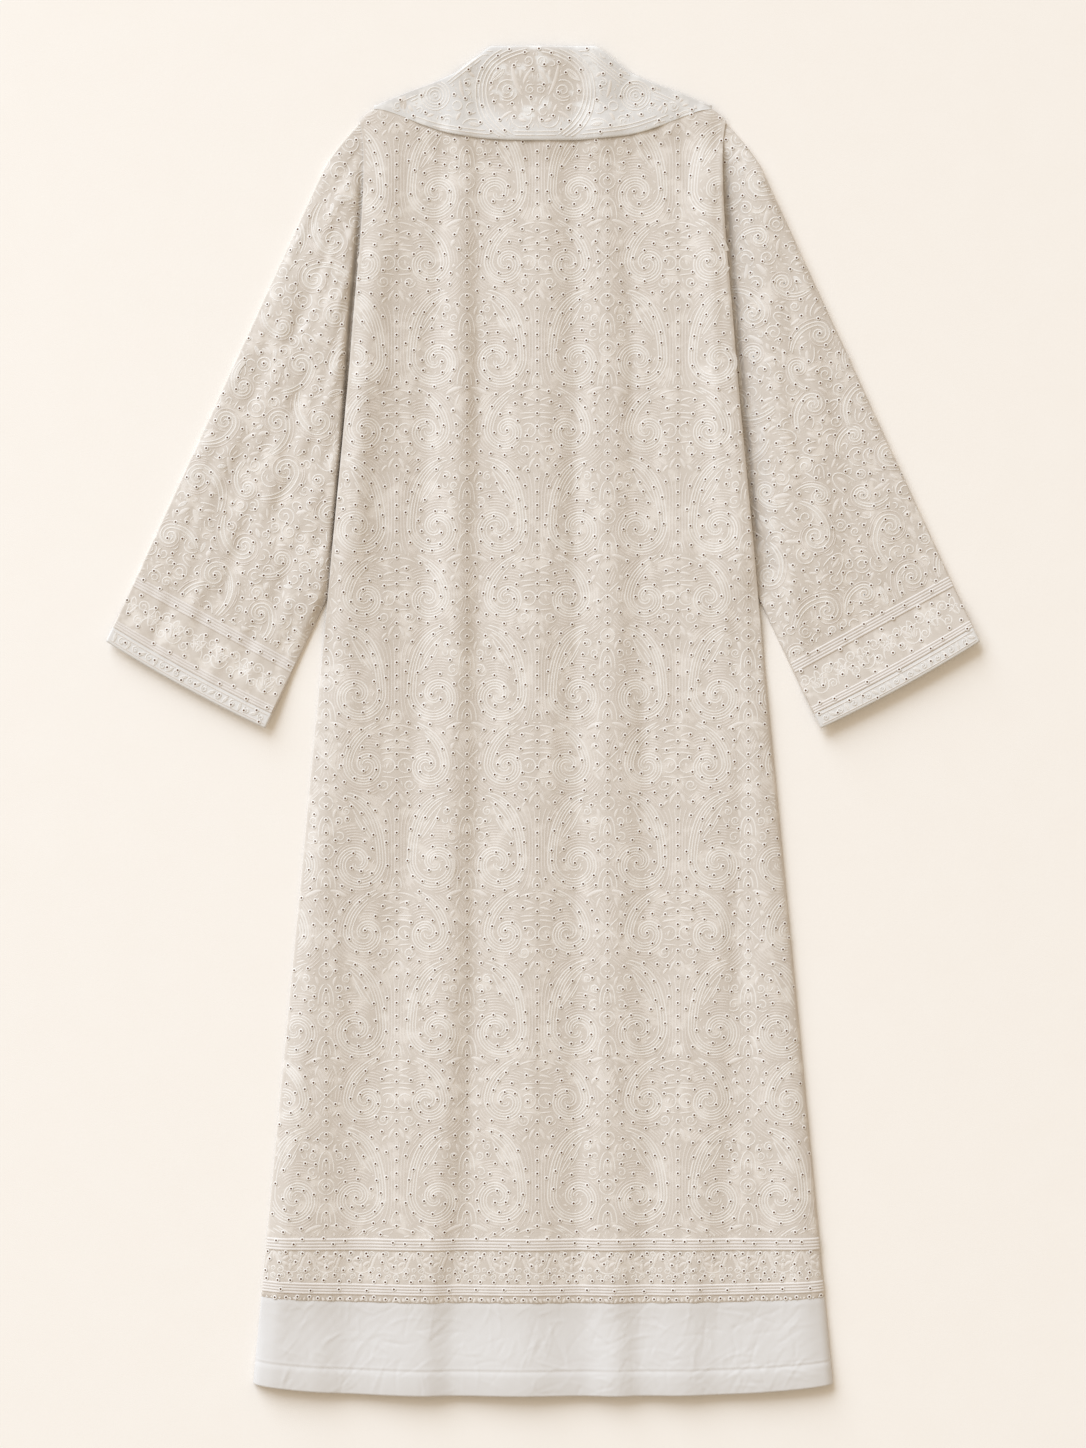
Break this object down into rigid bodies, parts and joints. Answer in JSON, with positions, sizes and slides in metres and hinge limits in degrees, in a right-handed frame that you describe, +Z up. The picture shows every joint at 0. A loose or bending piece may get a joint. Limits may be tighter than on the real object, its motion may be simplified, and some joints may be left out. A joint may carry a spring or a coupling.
{
  "type": "silk kaftan",
  "caption": "Long silk kaftan laid flat, back up, with wide sleeves, a broad folded collar, raised embroidery borders and a plain hem band.",
  "frame": {"origin": "under the middle of the outline, on the surface that the garment lies on", "axes": "+Y from the hem to the neck, +X to the viewer's right with the back facing up, +Z up off the surface"},
  "size_m": [0.9068, 1.4, 0.0111],
  "materials": {
    "embroidered_silk": "ivory silk covered with tone-on-tone cord embroidery",
    "front_silk": "plain ivory silk",
    "plain_silk": "smooth cool ivory silk with a soft sheen",
    "collar_silk": "cool ivory silk with close embroidery",
    "stitched_tape": "tape of parallel stitched cords"
  },
  "bodies": {
    "root": {"back_panel": "embroidered_silk", "front_panel": "front_silk", "back_hem_band": "plain_silk", "front_hem_band": "plain_silk", "collar_stand": "collar_silk", "collar_fall": "collar_silk", "hem_tape_upper": "stitched_tape", "hem_tape_lower": "stitched_tape", "sleeve_left": "embroidered_silk", "sleeve_right": "embroidered_silk", "cuff_facing_left": "plain_silk", "cuff_facing_right": "plain_silk", "cuff_tape_upper_left": "stitched_tape", "cuff_tape_upper_right": "stitched_tape", "cuff_tape_lower_left": "stitched_tape", "cuff_tape_lower_right": "stitched_tape"}
  },
  "joints": []
}
